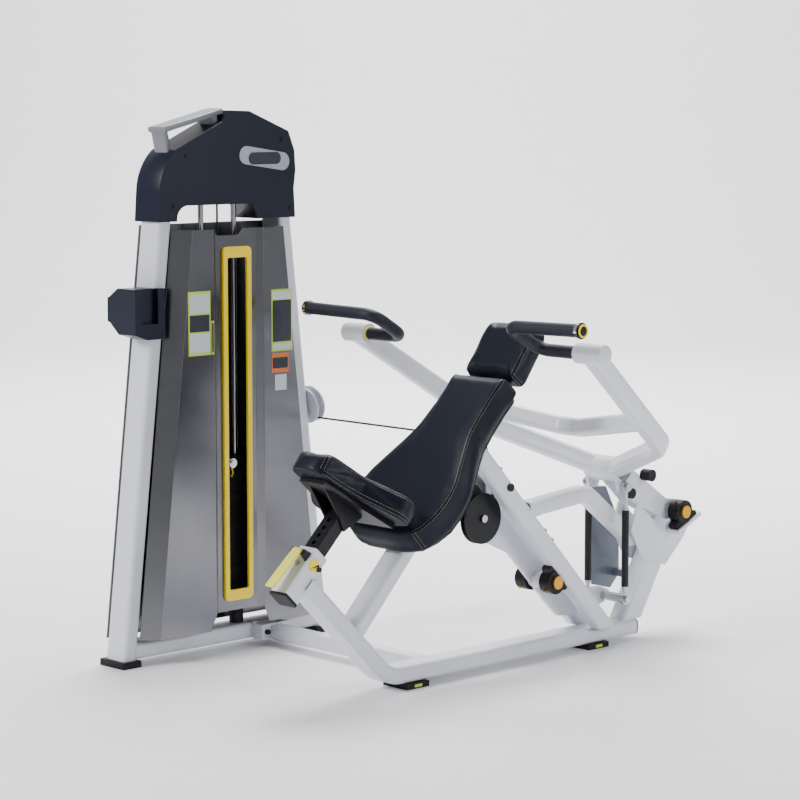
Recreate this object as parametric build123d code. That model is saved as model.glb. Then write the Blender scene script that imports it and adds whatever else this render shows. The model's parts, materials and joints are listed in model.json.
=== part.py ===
from build123d import *
import os
from math import acos, atan2, cos, hypot, radians, sin

# Selectorised seated shoulder press. Millimetres, +Z up, floor at Z = 0.
# The user faces -Y, the weight tower stands on the user's right (-X side).
# The parts are laid out from the tower's front face (X = 0) and its front foot (Y = 0),
# then the whole machine is moved so that the middle of its footprint is the origin.

# ---- driving dimensions ----
tower_height = 1500.0
tower_y = 368.0
tower_half = 374.0
tower_lean = 0.115
upright_deep = 84.0
upright_wide = 44.0
tower_mid_x = -upright_deep / 2
upright_bottom = 18.0
upright_top = 1262.0
wall = 3.0
tube_round = 12.0

frame_x = 663.0
base_wide = 78.0
base_high = 44.0
base_z = 15.0
base_mid_z = base_z + base_high / 2
base_rear = 1288.0

rail_offset = 45.0
rail_wide = 40.0
rail_deep = 54.0
rail_top = (588.0, 639.4)
rail_foot = (1152.0, 41.0)
far_rail_start = 735.0

rear_pivot = (1445.0, 355.0)
crank_pivot = (923.0, 215.0)
rod_top = (1199.0, 452.0)
rod_foot = (1199.0, 133.0)
hub_centre = (1202.0, 497.0)
crank_disc_centre = (690.0, 412.0)

cable_d = 6.0
cable_y = 694.0
cable_z = 626.0
cable_x = -59.0
cable_exit_z = 900.0
cable_top_z = 1372.0
top_groove = 35.0
side_groove = 37.0
frame_groove = 32.0
disc_groove = 60.0
anchor_point = (632.0, 548.0)

stack_bottom = 115.0
plate_pitch = 25.0
plate_thick = 24.0
lower_plates = 16
stack_half_y = 150.0
stack_half_x = 38.0
guide_spacing = 117.0
guide_d = 16.0
stem_d = 20.0

post_dir = (0.705, 0.709)
post_mouth = (88.0, 391.0)
post_wide = 50.0
post_deep = 38.0
sleeve_long = 142.0
seat_tilt = 35.0
seat_rear = (318.0, 498.0)
seat_thick = 64.0

back_origin = (448.2, 572.0)
back_dir = (0.7091, 0.7051)
back_thick = 74.0
board_thick = 12.0
head_origin = (707.5, 797.6)
head_dir = (0.588, 0.809)
head_thick = 62.0

arm_section = (54.0, 44.0)
arm_round = 14.0
collar_point = (432.0, 646.0, 887.0)
arm_bend = (320.0, 1057.0, 604.0)
brace_mid = (1046.0, 629.0)
brace_share = 0.72
grip_d = 34.0
grip_points = [(474, 646, 887), (254, 646, 887), (246, 530, 953), (498, 524, 958)]

parts = {}


# ---- helpers ----
def block(x0, x1, y0, y1, z0, z1):
    """A box between two corners."""
    size = Box(x1 - x0, y1 - y0, z1 - z0)
    return Pos((x0 + x1) / 2, (y0 + y1) / 2, (z0 + z1) / 2) * size


def side_plane(x):
    """The plane at X whose local axes are Y and Z."""
    return Plane(origin=(x, 0, 0), x_dir=(0, 1, 0), z_dir=(1, 0, 0))


def side_plate(points, x0, x1, corner=0.0):
    """An outline in Y and Z, as thick as from x0 to x1."""
    outline = make_face(Polyline(*points, close=True))
    if corner:
        outline = fillet(outline.vertices(), corner)
    return extrude(side_plane(x0) * outline, amount=x1 - x0)


def bar_x(point, x0, x1, diameter, bore=0.0):
    """A round bar along X at (y, z), with an optional bore."""
    face = Pos(*point) * Circle(diameter / 2)
    if bore:
        face = face - Pos(*point) * Circle(bore / 2)
    return extrude(side_plane(x0) * face, amount=x1 - x0)


def bar_between(start, end, diameter):
    """A round bar between two points."""
    axis = Vector(*end) - Vector(*start)
    plane = Plane(origin=start, z_dir=axis.normalized())
    return extrude(plane * Circle(diameter / 2), amount=axis.length)


def section(wide, deep, corner, hollow):
    outer = RectangleRounded(wide, deep, corner)
    if not hollow:
        return outer
    return outer - RectangleRounded(wide - 2 * wall, deep - 2 * wall, corner - wall)


def beam(x, start, end, wide, deep, corner=tube_round, hollow=True):
    """A rounded rectangular tube in the plane X = x, from start to end in (y, z)."""
    dy = end[0] - start[0]
    dz = end[1] - start[1]
    length = hypot(dy, dz)
    plane = Plane(origin=(x, *start), x_dir=(1, 0, 0), z_dir=(0, dy / length, dz / length))
    return extrude(plane * section(wide, deep, corner, hollow), amount=length)


def bent_beam(points, radii, plane, wide, deep, corner, hollow=True):
    """A rounded rectangular tube bent along a path that starts on the plane."""
    path = FilletPolyline(*points, radius=radii) if radii else Polyline(*points)
    outer = sweep(plane * RectangleRounded(wide, deep, corner), path=path)
    if not hollow:
        return outer
    inside = RectangleRounded(wide - 2 * wall, deep - 2 * wall, corner - wall)
    return outer - sweep(plane * inside, path=path)


def along(start, direction, distance, sideways=0.0):
    """A point in (y, z) along a direction, then to its left."""
    y = start[0] + direction[0] * distance - direction[1] * sideways
    z = start[1] + direction[1] * distance + direction[0] * sideways
    return (y, z)


def grooved_wheel(groove, flange, thick, bore):
    """A pulley about its own Z axis; the cable's centre line runs at the groove radius."""
    half = thick / 2
    floor = groove - cable_d / 2 - 0.05
    profile = [(bore / 2, -half), (flange, -half), (flange, 1.2 - half), (floor, -3.2)]
    profile = profile + [(r, -z) for r, z in reversed(profile)]
    outline = make_face(Polyline(*profile, close=True))
    return revolve(Plane.XZ * outline, axis=Axis.Z)


def outer_y(z):
    """Half the tower's outside width at a height."""
    return tower_half - tower_lean * z


# ---- weight tower ----
def upright_beam(side, deep, hollow=True):
    """A leaning tube that runs past both ends of the upright."""
    low_z = upright_bottom - 20
    high_z = upright_top + 20
    low = tower_y + side * (outer_y(low_z) - upright_wide / 2)
    high = tower_y + side * (outer_y(high_z) - upright_wide / 2)
    return beam(tower_mid_x, (low, low_z), (high, high_z), deep, upright_wide, hollow=hollow)


def upright(side):
    """One leaning upright; side is -1 at the front, +1 at the rear."""
    tube = upright_beam(side, upright_deep)
    tube = tube - block(-200, 100, -100, 900, upright_bottom - 60, upright_bottom)
    tube = tube - block(-200, 100, -100, 900, upright_top, upright_top + 60)
    if side > 0:
        slot_y = tower_y + outer_y(cable_exit_z)
        slot = block(cable_x, cable_x + 14, slot_y - 20, slot_y + 40, cable_exit_z - 60, cable_exit_z + 90)
        tube = tube - slot
    return tube


def tower_feet():
    feet = []
    for side in (-1, 1):
        middle = tower_y + side * (outer_y(0) - upright_wide / 2)
        feet.append(block(-upright_deep - 9, 9, middle - 31, middle + 31, 0, upright_bottom))
    return feet


def tower_base():
    inner = outer_y(0) - upright_wide
    start = (tower_y - inner - 20, upright_bottom + 23)
    end = (tower_y + inner + 20, upright_bottom + 23)
    tube = beam(tower_mid_x, start, end, upright_deep - 4, 46)
    return tube - beam_envelope(-1) - beam_envelope(1)


def beam_envelope(side):
    """The space an upright takes up."""
    return upright_beam(side, upright_deep + 1, hollow=False)


cap_front_x = 6.0
cap_back_x = -upright_deep - 12
cap_wall = 4.0
cap_lug_z = 1200.0
cap_under_z = 1242.0


def cap_outline(inset):
    """The cap's arch seen from the side, with its wall taken off by inset."""
    y = tower_y
    left = -245 + inset
    right = 246 - inset
    top = -inset
    with BuildLine() as line:
        Line((y + left, cap_lug_z), (y + left + 6, 1285))
        l2 = ThreePointArc((y + left + 6, 1285), (y - 222 + inset, 1345 + top), (y - 184 + inset, 1392 + top))
        l3 = Line(l2 @ 1, (y - 18, 1468 + top))
        l4 = Line(l3 @ 1, (y + 6, tower_height - 2 + top))
        l5 = Line(l4 @ 1, (y + 80, tower_height - 4 + top))
        l6 = Line(l5 @ 1, (y + 222 - inset, 1441 + top))
        l7 = Line(l6 @ 1, (y + 244 - inset, 1388))
        l8 = Line(l7 @ 1, (y + 248 - inset, 1332))
        l9 = Line(l8 @ 1, (y + 241 - inset, 1282))
        l10 = Line(l9 @ 1, (y + right, cap_lug_z))
        l11 = Line(l10 @ 1, (y + 106 + inset, cap_lug_z))
        l12 = Line(l11 @ 1, (y + 88 + inset, cap_under_z + inset))
        l13 = Line(l12 @ 1, (y - 140 - inset, cap_under_z + inset))
        l14 = ThreePointArc(l13 @ 1, (y - 166 - inset, 1232 + inset), (y - 178 - inset, cap_lug_z))
        Line(l14 @ 1, (y + left, cap_lug_z))
    return make_face(line.line)


def tower_cap():
    """A moulded shell with a flat underside between two lugs that sit over the uprights."""
    shell = extrude(side_plane(cap_back_x) * cap_outline(0), amount=cap_front_x - cap_back_x)
    inside = extrude(side_plane(cap_back_x + cap_wall) * cap_outline(cap_wall),
                     amount=cap_front_x - cap_back_x - 2 * cap_wall)
    shell = shell - inside
    for side in (-1, 1):
        shell = shell - beam_envelope(side)
    hole_z = cap_under_z - 5
    for offset in (-guide_spacing / 2, 0, guide_spacing / 2):
        y = tower_y + offset
        shell = shell - block(tower_mid_x - 12, tower_mid_x + 12, y - 12, y + 12, hole_z, hole_z + 20)
    return shell


def cap_handle():
    """The carrying bar over the cap's sloping front shoulder."""
    low = (tower_y - 206, 1446)
    high = (tower_y - 4, 1496)
    bar = beam(tower_mid_x - 3, low, high, 74, 16, corner=7, hollow=False)
    foot_low = beam(tower_mid_x - 3, (low[0] + 8, low[1]), (low[0] + 22, 1386), 60, 16, corner=7, hollow=False)
    foot_high = beam(tower_mid_x - 3, (high[0] - 26, high[1] - 8), (high[0] - 20, 1462), 60, 24, corner=7,
                     hollow=False)
    handle = bar + foot_low + foot_high
    shell = extrude(side_plane(cap_back_x) * cap_outline(0), amount=cap_front_x - cap_back_x)
    return handle - shell


def cap_badge():
    plane = side_plane(cap_front_x)
    slot = SlotOverall(182, 50).face()
    placed = plane * (Pos(tower_y + 131, 1366) * Rot(0, 0, -8) * slot)
    return extrude(placed, amount=3)


def cap_screws():
    spots = [(-146, 1376), (-190, 1240), (228, 1226), (196, 1418)]
    return [bar_x((tower_y + y, z), cap_front_x, cap_front_x + 2.5, 12) for y, z in spots]


def top_beam():
    """The cross channel inside the cap that ties the uprights and holds the pulleys and guide rods."""
    half = outer_y(upright_top)
    plate = block(-upright_deep + 2, -2, tower_y - half + 6, tower_y + half - 6, upright_top, upright_top + 10)
    web = block(-upright_deep + 2, -upright_deep + 8, tower_y - 60, tower_y + half - 6, upright_top + 10, 1390)
    beam_body = plate + web
    for offset in (-guide_spacing / 2, guide_spacing / 2):
        beam_body = beam_body - upright_bar(tower_y + offset, upright_top - 10, upright_top + 10, guide_d)
    beam_body = beam_body - upright_bar(tower_y, upright_top - 10, upright_top + 20, 16)
    slot_y = top_corner_y + cable_slope * (cable_top_z - upright_top)
    slot = block(cable_x - 1, tower_mid_x + 8, slot_y - 8, slot_y + 8, upright_top - 10, upright_top + 20)
    return beam_body - slot


def upright_bar(y, z0, z1, diameter, x=tower_mid_x):
    return extrude(Plane(origin=(x, y, z0)) * Circle(diameter / 2), amount=z1 - z0)


shroud_x = 50.0
shroud_sheet = 2.0
shroud_top = 1178.0
shroud_bottom = 72.0
shroud_lean = 0.112
shroud_top_half = 162.0
panel_half = 72.0
bevel = 16.0
panel_x = 36.0


def front_shroud():
    """A brushed steel sheet: outer bands, a set-back centre panel and side flanges to the uprights."""
    low_half = shroud_top_half + shroud_lean * (shroud_top - shroud_bottom)
    flange_x = 2.0
    flange = 34.0

    def outline(extra):
        half_top = shroud_top_half + extra
        half_low = low_half + extra
        return [(-half_top, shroud_top), (-half_low, shroud_bottom), (half_low, shroud_bottom),
                (half_top, shroud_top)]

    def ribbon(z):
        half = shroud_top_half + shroud_lean * (shroud_top - z)
        line = [(flange_x, -half - flange), (shroud_x, -half), (shroud_x, -panel_half - bevel),
                (panel_x, -panel_half), (panel_x, panel_half), (shroud_x, panel_half + bevel),
                (shroud_x, half), (flange_x, half + flange)]
        back = [(x - shroud_sheet, y) for x, y in line]
        points = [(x, tower_y + y) for x, y in line + back[::-1]]
        return Plane(origin=(0, 0, z)) * make_face(Polyline(*points, close=True))

    sheet = loft([ribbon(shroud_bottom), ribbon(shroud_top)])
    notch = side_plate([(tower_y - 116, 60), (tower_y - 86, 118), (tower_y + 86, 118), (tower_y + 108, 60)],
                       0, 80)
    window = block(0, 80, tower_y - window_open - 4, tower_y + window_open + 4, window_low + 20, window_high - 20)
    dip = side_plate([(tower_y - 95, 1200), (tower_y - 66, 1160), (tower_y + 10, 1160), (tower_y + 50, 1200)],
                     0, 80)
    return sheet - notch - window - dip


def rear_shroud():
    """The plain steel sheet that closes the tower's back."""
    x0 = -upright_deep - 3
    low_half = outer_y(shroud_bottom)
    top_half = outer_y(1190)
    points = [(tower_y - low_half, shroud_bottom), (tower_y + low_half, shroud_bottom),
              (tower_y + top_half, 1190), (tower_y - top_half, 1190)]
    return side_plate(points, x0, x0 + 3)


window_open = 35.0
window_rim = 15.0
window_low = 147.0
window_high = 1128.0


def window_frame():
    """The moulded rim around the window that gives access to the weights."""
    outer_half = window_open + window_rim
    middle = (window_low + window_high) / 2
    high = window_high - window_low
    rim = RectangleRounded(2 * outer_half, high, 14) - RectangleRounded(2 * window_open, high - 60, 6)
    face = side_plane(panel_x) * (Pos(tower_y, middle) * rim)
    rim_body = extrude(face, amount=8)
    pads = []
    for z in (window_low + 15, window_high - 15):
        pads.append(block(panel_x + 5, panel_x + 9, tower_y - 22, tower_y + 22, z - 7, z + 7))
    for pad in pads:
        rim_body = rim_body - pad
    return rim_body, pads


def placards():
    """Four blank instruction plates beside the window."""
    low_left = (-180.0, -103.0)
    right = (116.0, 192.0)
    plates = [
        (low_left[0], low_left[1], 838, 1012),
        (low_left[1] + 3, low_left[1] + 12, 838, 930),
        (right[0], right[1], 832, 1004),
        (right[0], right[1] - 14, 772, 826),
        (right[0] + 12, right[1] - 22, 722, 766),
    ]
    return [block(shroud_x, shroud_x + 1.2, tower_y + a, tower_y + b, c, d) for a, b, c, d in plates]


def phone_holder():
    """A moulded pocket on the front upright: it wraps the upright's front corner."""
    x_in = -112.0
    x_out = 22.0
    y_far = 132.0
    outline = [(x_in, 40), (x_out, 30), (x_out, y_far), (0.5, y_far), (0.5, 118), (x_in, 118)]
    body = extrude(Plane(origin=(0, 0, 888)) * make_face(Polyline(*outline, close=True)), amount=136)
    slant = [(30, 880), (30, 902), (94, 880)]
    body = body - side_plate(slant, -120, 30)
    body = body - block(x_in - 1, -upright_deep, 90, 130, 880, 1030)
    taper = Plane(origin=(0, 0, 0), x_dir=(1, 0, 0), z_dir=(0, -1, 0))
    rear_low = make_face(Polyline((x_in - 5, 880), (x_in - 5, 935), (x_in + 12, 930), (x_in + 80, 880), close=True))
    body = body - extrude(taper * rear_low, amount=-200)
    rear_high = make_face(Polyline((x_in - 5, 1030), (x_in - 5, 995), (x_in + 10, 1000), (x_in + 60, 1030),
                                   close=True))
    body = body - extrude(taper * rear_high, amount=-200)
    pocket = block(-10 + 14, x_out - 4, 44, 116, 902, 1100)
    mouth = block(x_out - 6, x_out + 10, 52, 108, 930, 1100)
    body = body - pocket - mouth
    return body - beam_envelope(-1)


def guide_rods():
    rods = []
    for offset in (-guide_spacing / 2, guide_spacing / 2):
        rods.append(upright_bar(tower_y + offset, 64, upright_top + 10, guide_d))
    return rods


def plate_face():
    face = RectangleRounded(2 * stack_half_x, 2 * stack_half_y, 6)
    for offset in (-guide_spacing / 2, guide_spacing / 2):
        face = face - Pos(0, offset) * Circle(guide_d / 2 + 1.2)
    return face - Circle(stem_d / 2 + 1.5)


def weight_plate(z):
    """One cast plate with holes for the guide rods and the stem, and a front hole for the pin."""
    plate = extrude(Plane(origin=(tower_mid_x, tower_y, z)) * plate_face(), amount=plate_thick)
    hole = bar_x((tower_y, z + plate_thick / 2), tower_mid_x, tower_mid_x + 80, 10.1)
    return plate - hole


def weight_stack():
    return [weight_plate(stack_bottom + i * plate_pitch) for i in range(lower_plates)]


def stack_bumpers():
    bumpers = []
    for offset in (-guide_spacing / 2, guide_spacing / 2):
        ring = Circle(20) - Circle(guide_d / 2)
        plane = Plane(origin=(tower_mid_x, tower_y + offset, 64))
        bumpers.append(extrude(plane * ring, amount=stack_bottom - 64))
    return bumpers


lift_bottom = stack_bottom + lower_plates * plate_pitch
lift_top = lift_bottom + plate_pitch
pin_z = lift_bottom + plate_thick / 2
stem_top = lift_top + 70


def lifted_plate():
    """The plate that always travels, fixed on the stem."""
    face = RectangleRounded(2 * stack_half_x, 2 * stack_half_y, 6)
    for offset in (-guide_spacing / 2, guide_spacing / 2):
        face = face - Pos(0, offset) * Circle(guide_d / 2 + 1.2)
    face = face - Circle(stem_d / 2)
    plate = extrude(Plane(origin=(tower_mid_x, tower_y, lift_bottom)) * face, amount=plate_pitch)
    return plate - bar_x((tower_y, pin_z), tower_mid_x, tower_mid_x + 80, 10.1)


def selector_stem():
    """The rod that hangs through the stack, drilled once for each plate."""
    stem = upright_bar(tower_y, stack_bottom + 6, stem_top - 20, stem_d)
    for i in range(lower_plates + 1):
        z = stack_bottom + i * plate_pitch + plate_thick / 2
        stem = stem - bar_x((tower_y, z), tower_mid_x - 20, tower_mid_x + 20, 10.1)
    return stem


def stem_head():
    """The white buffer and the clamp where the cable is held."""
    buffer = upright_bar(tower_y, lift_top, lift_top + 30, 38)
    buffer = buffer - upright_bar(tower_y, lift_top, lift_top + 30, stem_d)
    clamp = upright_bar(tower_y, stem_top - 20, stem_top, 26)
    return buffer, clamp


def selector_pin():
    """The pin with its handle: it slides out towards the user."""
    front = tower_mid_x + stack_half_x
    pin = bar_x((tower_y, pin_z), tower_mid_x - 8, front + 14, 10)
    grip = bar_x((tower_y, pin_z), front + 14, front + 24, 26)
    cap = bar_x((tower_y, pin_z), front + 24, front + 29, 18)
    return pin + grip + cap


# ---- cable and pulleys ----
cable_slope = (cable_y - tower_y - outer_y(cable_exit_z)) / (cable_exit_z - cable_z)
top_corner_y = cable_y - cable_slope * (cable_top_z - cable_z)


def tangent_lean(point):
    """The lean from straight down of a cable from a point to the rear or front of the crank disc."""
    dy = crank_disc_centre[0] - point[0]
    dz = point[1] - crank_disc_centre[1]
    side = acos((1 - disc_groove ** 2 / (dy ** 2 + dz ** 2)) ** 0.5)
    return atan2(dy, dz), side


def down_dir(lean):
    return Vector(0, sin(lean), -cos(lean))


cable_lean = sum(tangent_lean((cable_y, cable_z)))
anchor_lean = tangent_lean(anchor_point)[0] - tangent_lean(anchor_point)[1]

stack_corner = Vector(tower_mid_x, tower_y, cable_top_z)
top_corner = Vector(tower_mid_x, top_corner_y, cable_top_z)
side_corner = Vector(cable_x, cable_y, cable_z)
frame_corner = Vector(frame_x, cable_y, cable_z)
cable_joint = frame_corner + down_dir(cable_lean) * (frame_groove + 4)


class Turn:
    """A place where the cable turns a corner round a wheel."""

    def __init__(self, before, corner, after, groove):
        arriving = (corner - before).normalized()
        leaving = (after - corner).normalized()
        bisector = (leaving - arriving).normalized()
        half = acos(arriving.dot(leaving)) / 2
        self.centre = corner + bisector * (groove / cos(half))
        self.axis = arriving.cross(leaving).normalized()
        self.groove = groove

    def plane(self, offset=0.0):
        """The wheel's plane, moved along its axle. Local X is as near to +X or +Y as it can be."""
        level = Vector(1, 0, 0) if abs(self.axis.X) < 0.5 else Vector(0, 1, 0)
        return Plane(origin=self.centre + self.axis * offset, x_dir=level, z_dir=self.axis)

    def wheel(self, rim, thick):
        return self.plane() * grooved_wheel(self.groove, self.groove + rim, thick, 12.1)

    def axle(self, start, end):
        return extrude(self.plane(start) * Circle(6), amount=end - start)


stack_turn = Turn(stack_corner - Vector(0, 0, 100), stack_corner, top_corner, top_groove)
top_turn = Turn(stack_corner, top_corner, side_corner, top_groove)
side_turn = Turn(top_corner, side_corner, frame_corner, side_groove)
frame_turn = Turn(side_corner, frame_corner, cable_joint, frame_groove)


def cable_section(path):
    """A round cable swept along a path of straight runs and arcs."""
    plane = Plane(origin=path @ 0, z_dir=path % 0)
    return sweep(plane * Circle(cable_d / 2), path=path)


def cable_lift():
    return upright_bar(tower_y, stem_top, cable_top_z - top_groove, cable_d)


def cable_route():
    """From the arc on the first top pulley to just below the frame pulley."""
    start = stack_corner - Vector(0, 0, top_groove)
    corners = [start, stack_corner, top_corner, side_corner, frame_corner, cable_joint]
    radii = [top_groove - 0.01, top_groove, side_groove, frame_groove]
    path = FilletPolyline(*[tuple(corner) for corner in corners], radius=radii)
    return cable_section(path)


def disc_point(lean, side):
    """A point on the cable's centre line at the crank disc's rear (+1) or front (-1)."""
    centre = Vector(frame_x, *crank_disc_centre)
    return centre + Vector(0, cos(lean), sin(lean)) * (side * disc_groove)


def cable_crank():
    """Down to the crank disc, round below it and up to the anchor."""
    enter = disc_point(cable_lean, 1)
    leave = disc_point(anchor_lean, -1)
    centre = Vector(frame_x, *crank_disc_centre)
    below = centre + down_dir((cable_lean + anchor_lean) / 2) * disc_groove
    runs = Line(cable_joint, enter) + ThreePointArc(enter, below, leave)
    return cable_section(Wire(runs.edges() + Line(leave, (frame_x, *anchor_point)).edges()))


def side_housing():
    """Two round cheeks either side of the wheel, held off the rear upright by a spacer."""
    cheeks = []
    for offset in (-14.5, 10.5):
        face = Circle(52) + Pos(-36, 0) * RectangleRounded(58, 50, 8) - Circle(6)
        cheeks.append(extrude(side_turn.plane(offset) * face, amount=4))
    bridge = extrude(side_turn.plane(-10.5) * (Pos(-62, 0) * Rectangle(6, 50)), amount=21)
    spacer = extrude(side_turn.plane(14.5) * (Pos(-38, 0) * Rectangle(40, 44)), amount=8)
    return cheeks[0] + cheeks[1] + bridge + (spacer - beam_envelope(1)) - beam_envelope(1)


def side_axle():
    head = extrude(side_turn.plane(-19) * RegularPolygon(10, 6), amount=4.5)
    return side_turn.axle(-14.5, 14.5) + head


def frame_bracket():
    """Two plates on a block at the far rail's end; they hold the frame pulley."""
    bracket = block(frame_x - 65, frame_x - 25, 676, far_rail_start, 455, 500)
    for offset in (-14, 10):
        face = Pos(-20, 45) * RectangleRounded(50, 130, 8) - Circle(6)
        bracket = bracket + extrude(frame_turn.plane(offset) * face, amount=4)
    return [bracket - rail_beam(-1, hollow=False)]


# ---- main frame ----
bend_y = 325.0
front_end = (40.0, 321.0)


def base_path():
    return [(frame_x, base_rear, base_mid_z), (frame_x, bend_y, base_mid_z), (frame_x, *front_end)]


def base_start():
    return Plane(origin=(frame_x, base_rear, base_mid_z), x_dir=(1, 0, 0), z_dir=(0, -1, 0))


def main_base():
    """The floor tube, bent up at the front to carry the seat."""
    tube = bent_beam(base_path(), [110], base_start(), base_wide, base_high, tube_round)
    return tube - sleeve_envelope()


def base_envelope():
    return bent_beam(base_path(), [110], base_start(), base_wide, base_high, tube_round, hollow=False)


def base_end_cap():
    rear = block(frame_x - base_wide / 2, frame_x + base_wide / 2, base_rear, base_rear + 5, base_z,
                 base_z + base_high)
    return fillet(rear.edges().filter_by(Axis.Y), tube_round)


def base_feet():
    feet = []
    for y0, y1 in ((372, 452), (1078, 1160)):
        feet.append(block(frame_x - 46, frame_x + 46, y0, y1, 0, base_z))
    return feet


def sleeve_ends():
    return along(post_mouth, post_dir, -sleeve_long), post_mouth


def sleeve_envelope():
    low, high = sleeve_ends()
    return beam(frame_x, low, high, post_wide + 14, post_deep + 14, corner=6, hollow=False)


def seat_sleeve():
    low, high = sleeve_ends()
    bore = beam(frame_x, along(low, post_dir, -5), along(high, post_dir, 5), post_wide + 2, post_deep + 2,
                corner=3, hollow=False)
    body = sleeve_envelope() - bore
    hole = lever_pin_hole()
    return body - hole


def lever_pin_hole():
    start = along(post_mouth, post_dir, -52, 20)
    end = along(post_mouth, post_dir, -52, 60)
    return bar_between((frame_x, *start), (frame_x, *end), 12.4)


def sleeve_cap():
    low, _ = sleeve_ends()
    return beam(frame_x, along(low, post_dir, -8), low, post_wide + 14, post_deep + 14, corner=6, hollow=False)


def sleeve_plate():
    """The yellow setting plate and its bolt on the sleeve's near side."""
    x0 = frame_x + post_wide / 2 + 7
    middle = along(post_mouth, post_dir, -38, 4)
    disc = bar_x(middle, x0, x0 + 3, 34)
    bolt = bar_x(along(post_mouth, post_dir, -36, -14), x0, x0 + 9, 13)
    return disc, bolt


def seat_lever():
    """The long release lever on the sleeve's front."""
    top = along(post_mouth, post_dir, -28, 50)
    low = along(post_mouth, post_dir, -150, 58)
    blade = beam(frame_x, top, low, 34, 7, corner=3, hollow=False)
    pivot = along(post_mouth, post_dir, -30, 44)
    boss = bar_x(pivot, frame_x - 13, frame_x + 13, 22) - bar_x(pivot, frame_x - 14, frame_x + 14, 8.1)
    blade = blade + boss
    return blade - bar_x(pivot, frame_x - 30, frame_x + 30, 8.1)


lever_pivot = along(post_mouth, post_dir, -30, 44)


def lever_ears():
    """Two ears on the sleeve and the lever's pivot pin."""
    ears = []
    for x0 in (frame_x - 24, frame_x + 18):
        foot = along(post_mouth, post_dir, -42, (post_deep + 14) / 2)
        foot2 = along(post_mouth, post_dir, -16, (post_deep + 14) / 2)
        tip = along(post_mouth, post_dir, -22, 50)
        tip2 = along(post_mouth, post_dir, -38, 50)
        plate = side_plate([foot, foot2, tip, tip2], x0, x0 + 6)
        ears.append(plate - bar_x(lever_pivot, x0 - 1, x0 + 7, 8))
    pin = bar_x(lever_pivot, frame_x - 26, frame_x + 26, 8)
    return ears, pin


def locking_pin():
    """The spring plunger that the lever draws out of the post."""
    start = along(post_mouth, post_dir, -52, post_deep / 2 + 0.5)
    end = along(post_mouth, post_dir, -52, 42)
    return bar_between((frame_x, *start), (frame_x, *end), 10)


post_low = 70.0
post_long = 170.0


def seat_post():
    """The drilled post that carries the seat."""
    start = along(post_mouth, post_dir, -post_low)
    end = along(post_mouth, post_dir, post_long)
    post = beam(frame_x, start, end, post_wide, post_deep, corner=3, hollow=False)
    inner = beam(frame_x, along(start, post_dir, -1), along(end, post_dir, -20), post_wide - 8, post_deep - 8,
                 corner=1, hollow=False)
    post = post - inner
    for step in range(7):
        spot = along(post_mouth, post_dir, -52 + 24 * step, 0)
        tip = along(post_mouth, post_dir, -52 + 24 * step, 40)
        post = post - bar_between((frame_x, *spot), (frame_x, *tip), 12)
    return post - seat_bracket_envelope()


seat_dir = (-cos(radians(seat_tilt)), sin(radians(seat_tilt)))
seat_up = (sin(radians(seat_tilt)), cos(radians(seat_tilt)))


def seat_point(forward, up):
    """A point from the seat's rear reference, forward along the pad and up from its top."""
    y = seat_rear[0] + seat_dir[0] * forward + seat_up[0] * up
    z = seat_rear[1] + seat_dir[1] * forward + seat_up[1] * up
    return (y, z)


def seat_plane():
    return Plane(origin=(frame_x, *seat_point(0, -seat_thick)), x_dir=(1, 0, 0),
                 z_dir=(0, seat_up[0], seat_up[1]))


def seat_pad():
    """A saddle pad: narrow nose, wide rear. Local Y runs towards the rear."""
    half = [(0, 10), (60, 6), (128, -4), (160, -18), (170, -58), (136, -108), (96, -158), (74, -215),
            (62, -262), (36, -284), (0, -288)]
    points = half + [(-x, y) for x, y in reversed(half[1:-1])]
    pad = extrude(seat_plane() * make_face(Polyline(*points, close=True)), amount=seat_thick)
    return pad


def seat_bracket_envelope():
    low = [seat_point(28, -seat_thick - 14), seat_point(28, -seat_thick + 30),
           seat_point(260, -seat_thick + 30),
           seat_point(260, -seat_thick - 14)]
    return side_plate(low, frame_x - 200, frame_x + 200)


def seat_bracket():
    """The V shaped plate under the seat and its two webs down to the post."""
    plate_low = seat_plane().offset(-12)
    outline = [(-110, -20), (110, -20), (46, -236), (-46, -236)]
    return extrude(plate_low * make_face(Polyline(*outline, close=True)), amount=11.7)


def seat_webs():
    webs = []
    end = along(post_mouth, post_dir, post_long - 20)
    for x0 in (frame_x - post_wide / 2 - 6, frame_x + post_wide / 2):
        outline = [seat_point(60, -seat_thick - 12), seat_point(215, -seat_thick - 12),
                   along(end, post_dir, -46, 19), along(end, post_dir, -62, -19)]
        webs.append(side_plate(outline, x0, x0 + 6))
    return webs


# ---- back rest ----
def back_plane():
    return Plane(origin=(frame_x, *back_origin), x_dir=(1, 0, 0), z_dir=(0, -back_dir[1], back_dir[0]))


def back_outline(shrink=0.0):
    """Half the pad from the bottom up, mirrored; shrink moves it in on every side."""
    half = [(0, -222), (70, -220), (118, -208), (150, -178), (172, -125), (176, -75), (168, -24), (148, 30),
            (124, 89), (108, 136), (101, 195), (98, 261), (100, 306), (96, 330), (80, 338), (0, 340)]
    half = [(max(x - shrink, 0), y + (shrink if y < -150 else -shrink if y > 320 else 0)) for x, y in half]
    points = half + [(-x, y) for x, y in reversed(half[1:-1])]
    return make_face(Polyline(*points, close=True))


def back_pad():
    return extrude(back_plane() * back_outline(), amount=-back_thick)


def back_board():
    """The board behind the pad."""
    plane = back_plane().offset(-back_thick - 0.3)
    return extrude(plane * back_outline(14), amount=-board_thick)


def head_plane():
    return Plane(origin=(frame_x, *head_origin), x_dir=(1, 0, 0), z_dir=(0, -head_dir[1], head_dir[0]))


def headrest():
    half = [(0, 0), (80, 0), (92, 10), (95, 70), (94, 130), (84, 165), (66, 178), (0, 180)]
    points = half + [(-x, y) for x, y in reversed(half[1:-1])]
    return extrude(head_plane() * make_face(Polyline(*points, close=True)), amount=-head_thick)


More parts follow.
